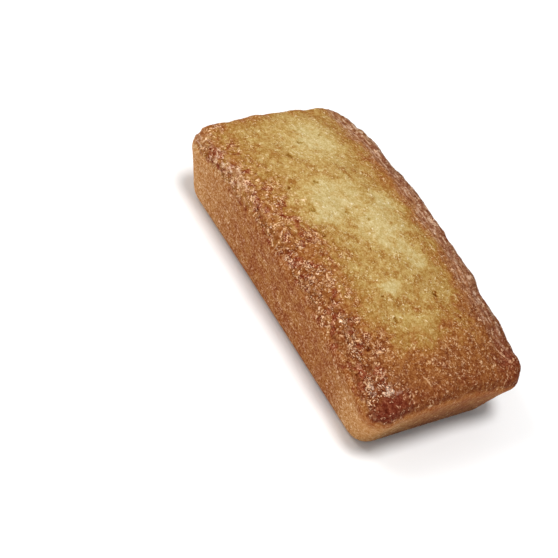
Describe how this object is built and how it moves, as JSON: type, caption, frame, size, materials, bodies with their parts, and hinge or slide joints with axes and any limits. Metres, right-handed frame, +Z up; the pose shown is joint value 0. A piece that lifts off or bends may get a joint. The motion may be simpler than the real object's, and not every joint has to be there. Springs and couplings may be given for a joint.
{
  "type": "financier cake",
  "caption": "Small loaf-shaped almond cake with sloping sides, a flat base, a domed uneven top and a browned crust rim with craggy edges.",
  "frame": {"origin": "middle of the flat base that the cake rests on", "axes": "+X along the cake, towards the end that came out lower; +Y across it; +Z up, out of the mould"},
  "size_m": [0.0844, 0.0436, 0.0248],
  "materials": {
    "crust": "browned cake crust, fine open grain, slight butter shine on top"
  },
  "bodies": {
    "root": {"cake": "crust"}
  },
  "joints": []
}
